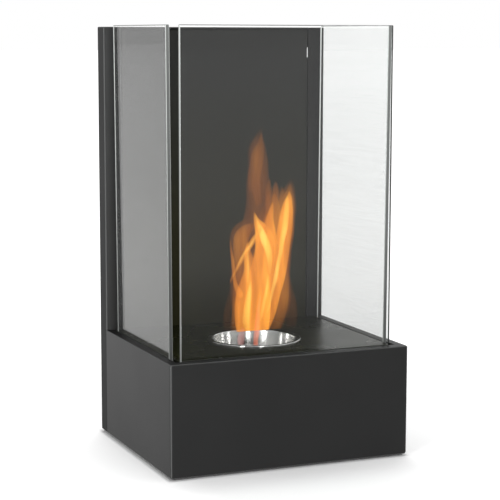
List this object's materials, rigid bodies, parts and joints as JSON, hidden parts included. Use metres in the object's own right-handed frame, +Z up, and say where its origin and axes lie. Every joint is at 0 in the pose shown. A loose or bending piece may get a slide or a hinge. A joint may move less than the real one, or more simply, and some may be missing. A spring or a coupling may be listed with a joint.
{
  "type": "bioethanol fireplace",
  "caption": "Free-standing bioethanol fireplace: black steel base with a flush hearth and lift-out burner cup, tall shallow back, and loose glass panes on the front and sides.",
  "frame": {"origin": "bottom centre of the whole object's box, on the surface that it stands on", "axes": "+X to the right seen from the front, +Y from the front pane to the back, +Z up"},
  "size_m": [0.26, 0.2258, 0.442],
  "materials": {
    "powder_coat": "fine-textured matt black powder coat",
    "powder_coat_panel": "fine-textured matt black heat-proof coat",
    "powder_coat_hearth": "smooth matt black heat-proof coat",
    "black_steel": "matt black",
    "zinc_sheet": "zinc-plated sheet",
    "clear_glass": "clear tempered glass with ground edges",
    "rubber": "matt black",
    "polished_steel": "polished stainless steel",
    "steel_mesh": "stainless steel, tinted by heat",
    "ceramic_wool": "off-white ceramic fibre",
    "zinc_fastener": "zinc-plated",
    "black_fastener": "black-oxide steel",
    "flame": "glowing, see-through; used only by the flame of the visual model"
  },
  "bodies": {
    "housing": {"base_shell": "powder_coat", "back_rear_wall": "powder_coat", "back_side_left": "powder_coat", "back_side_right": "powder_coat", "back_top": "powder_coat", "back_bottom": "powder_coat", "back_panel": "powder_coat_panel", "hearth_plate": "powder_coat_hearth", "glass_channel_left": "black_steel", "glass_channel_front": "black_steel", "glass_channel_right": "black_steel", "hearth_rail_left": "zinc_sheet", "hearth_rail_right": "zinc_sheet", "base_floor": "zinc_sheet", "glass_seat_left": "rubber", "glass_seat_front": "rubber", "glass_seat_right": "rubber", "foot_front_left": "rubber", "foot_front_right": "rubber", "foot_rear_left": "rubber", "foot_rear_right": "rubber", "hearth_studs": "zinc_fastener", "hearth_nuts": "zinc_fastener", "back_bolts": "zinc_fastener", "back_weld_nuts": "zinc_fastener", "back_panel_standoffs": "zinc_fastener", "base_floor_screws": "zinc_fastener", "back_panel_screws": "black_fastener"},
    "burner": {"burner_cup": "polished_steel", "burner_wool": "ceramic_wool", "burner_screen": "steel_mesh"},
    "glass_front": {"glass_front": "clear_glass"},
    "glass_left": {"glass_left": "clear_glass"},
    "glass_right": {"glass_right": "clear_glass"}
  },
  "joints": [
    {"name": "burner_lift", "type": "slide", "parent": "housing", "child": "burner", "axis": [0, 0, 1], "range_m": [0, 0.395]},
    {"name": "glass_front_lift", "type": "slide", "parent": "housing", "child": "glass_front", "axis": [0, 0, 1], "range_m": [0, 0.345]},
    {"name": "glass_left_lift", "type": "slide", "parent": "housing", "child": "glass_left", "axis": [-0.0061, 0, 1], "range_m": [0, 0.345]},
    {"name": "glass_right_lift", "type": "slide", "parent": "housing", "child": "glass_right", "axis": [0.0061, 0, 1], "range_m": [0, 0.345]}
  ]
}
